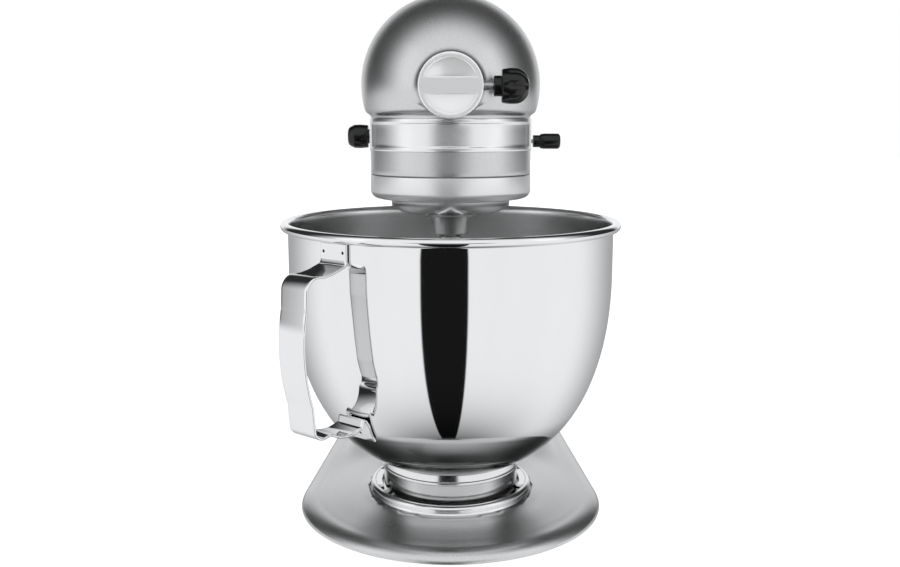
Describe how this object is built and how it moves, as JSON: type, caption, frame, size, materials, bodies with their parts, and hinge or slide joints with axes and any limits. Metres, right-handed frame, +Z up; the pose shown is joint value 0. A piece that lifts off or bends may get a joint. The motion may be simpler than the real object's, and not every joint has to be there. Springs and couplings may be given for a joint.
{
  "type": "stand mixer",
  "caption": "Tilt-head stand mixer with a geared planetary beater drive, front power hub, lever controls and a steel bowl with a strap handle that twists into a clamp plate.",
  "frame": {"origin": "centre of the object's footprint box, on the counter the rubber feet stand on", "axes": "+Z up, -Y towards the front, out of the attachment hub, +X to the right as seen from the front"},
  "size_m": [0.2287, 0.3602, 0.353],
  "materials": {
    "silver_paint": "satin metallic silver paint on castings",
    "brushed_trim": "brushed, bright",
    "polished_steel": "stainless, mirror-polished outside and brushed inside",
    "plated_steel": "plated steel",
    "gear_steel": "cut steel",
    "bronze": "bronze",
    "copper": "copper segments",
    "laminations": "varnished steel laminations",
    "bearing_casting": "raw casting",
    "black_plastic": "glossy black moulding",
    "dark_plastic": "matt moulding",
    "rubber": "moulded rubber"
  },
  "bodies": {
    "base": {"base_casting": "silver_paint", "column": "silver_paint", "foot_pads": "rubber", "column_screws": "plated_steel", "clamp_plate": "polished_steel", "clamp_screws": "plated_steel", "hinge_pin": "plated_steel", "hinge_grub_screw": "plated_steel", "height_screw": "plated_steel", "lock_catch": "plated_steel"},
    "bowl": {"bowl_shell": "polished_steel", "bowl_foot": "polished_steel", "bowl_handle": "polished_steel"},
    "head": {"motor_housing": "silver_paint", "gear_case": "silver_paint", "trim_band": "brushed_trim", "band_screws": "plated_steel", "drip_ring": "brushed_trim", "rear_cover": "silver_paint", "rear_cover_screw": "plated_steel", "hub_sleeve": "plated_steel", "ring_gear": "gear_steel", "planetary_bush": "bronze", "case_screws": "plated_steel", "cross_shaft_bushes": "bronze", "stator": "laminations", "brush_holders": "bronze", "brush_caps": "black_plastic", "front_bearing": "bearing_casting", "rear_bearing": "bearing_casting", "speed_plate": "dark_plastic", "cord_grommet": "rubber"},
    "lock": {"lock_lever": "plated_steel", "lock_knob": "black_plastic"},
    "speed": {"speed_lever": "plated_steel", "speed_knob": "black_plastic"},
    "hub_cover": {"hub_cover": "brushed_trim"},
    "clamp_stud": {"clamp_stud": "plated_steel"},
    "clamp_knob": {"clamp_knob": "black_plastic"},
    "planetary": {"planetary": "silver_paint", "centre_shaft": "gear_steel", "centre_gear": "gear_steel", "planetary_pin": "plated_steel"},
    "beater": {"beater_shaft": "plated_steel", "beater_pinion": "gear_steel", "beater_pin": "plated_steel", "beater_spring": "plated_steel", "beater_washer": "plated_steel"},
    "rotor": {"motor_shaft": "gear_steel", "armature": "laminations", "worm": "gear_steel", "fan": "dark_plastic", "commutator": "copper"},
    "cross": {"cross_shaft": "gear_steel", "worm_wheel": "bronze", "cross_pinion": "gear_steel"},
    "hub_drive": {"hub_drive": "gear_steel"}
  },
  "joints": [
    {"name": "head_tilt", "type": "hinge", "parent": "base", "child": "head", "pos_m": [0, 0.11, 0.221], "axis": [-1, 0, 0], "range_deg": [0, 32]},
    {"name": "bowl_twist", "type": "hinge", "parent": "base", "child": "bowl", "pos_m": [0, -0.06, 0.03], "axis": [0, 0, 1], "range_deg": [0, 25]},
    {"name": "lock_slide", "type": "slide", "parent": "head", "child": "lock", "axis": [0, -1, 0], "range_m": [0, 0.012]},
    {"name": "speed_slide", "type": "slide", "parent": "head", "child": "speed", "axis": [0, 1, 0], "range_m": [0, 0.042]},
    {"name": "hub_cover_pull", "type": "slide", "parent": "head", "child": "hub_cover", "axis": [0, -1, 0], "range_m": [0, 0.08]},
    {"name": "screw_travel", "type": "slide", "parent": "head", "child": "clamp_stud", "axis": [-1, 0, 0], "range_m": [0, 0.0052]},
    {"name": "knob_turn", "type": "hinge", "parent": "clamp_stud", "child": "clamp_knob", "pos_m": [0.033, -0.126, 0.2903], "axis": [-1, 0, 0], "range_deg": [0, 1440]},
    {"name": "planetary_spin", "type": "hinge", "parent": "head", "child": "planetary", "pos_m": [0, -0.06, 0.22], "axis": [0, 0, 1], "continuous": true},
    {"name": "beater_spin", "type": "hinge", "parent": "planetary", "child": "beater", "pos_m": [0, -0.0838, 0.2], "axis": [0, 0, 1], "continuous": true},
    {"name": "cross_spin", "type": "hinge", "parent": "head", "child": "cross", "pos_m": [0, -0.06, 0.2903], "axis": [1, 0, 0], "continuous": true},
    {"name": "motor_spin", "type": "hinge", "parent": "head", "child": "rotor", "pos_m": [0, 0.02, 0.3053], "axis": [0, 1, 0], "continuous": true},
    {"name": "hub_spin", "type": "hinge", "parent": "head", "child": "hub_drive", "pos_m": [0, -0.1, 0.2903], "axis": [0, -1, 0], "continuous": true}
  ],
  "couplings": [
    {"joint": "beater_spin", "follows": "planetary_spin", "ratio": -3.4286},
    {"joint": "cross_spin", "follows": "planetary_spin", "ratio": 2.3333},
    {"joint": "motor_spin", "follows": "planetary_spin", "ratio": 18.667},
    {"joint": "hub_spin", "follows": "planetary_spin", "ratio": 2.3333},
    {"joint": "screw_travel", "follows": "knob_turn", "m_per_rad": 0.000202}
  ]
}
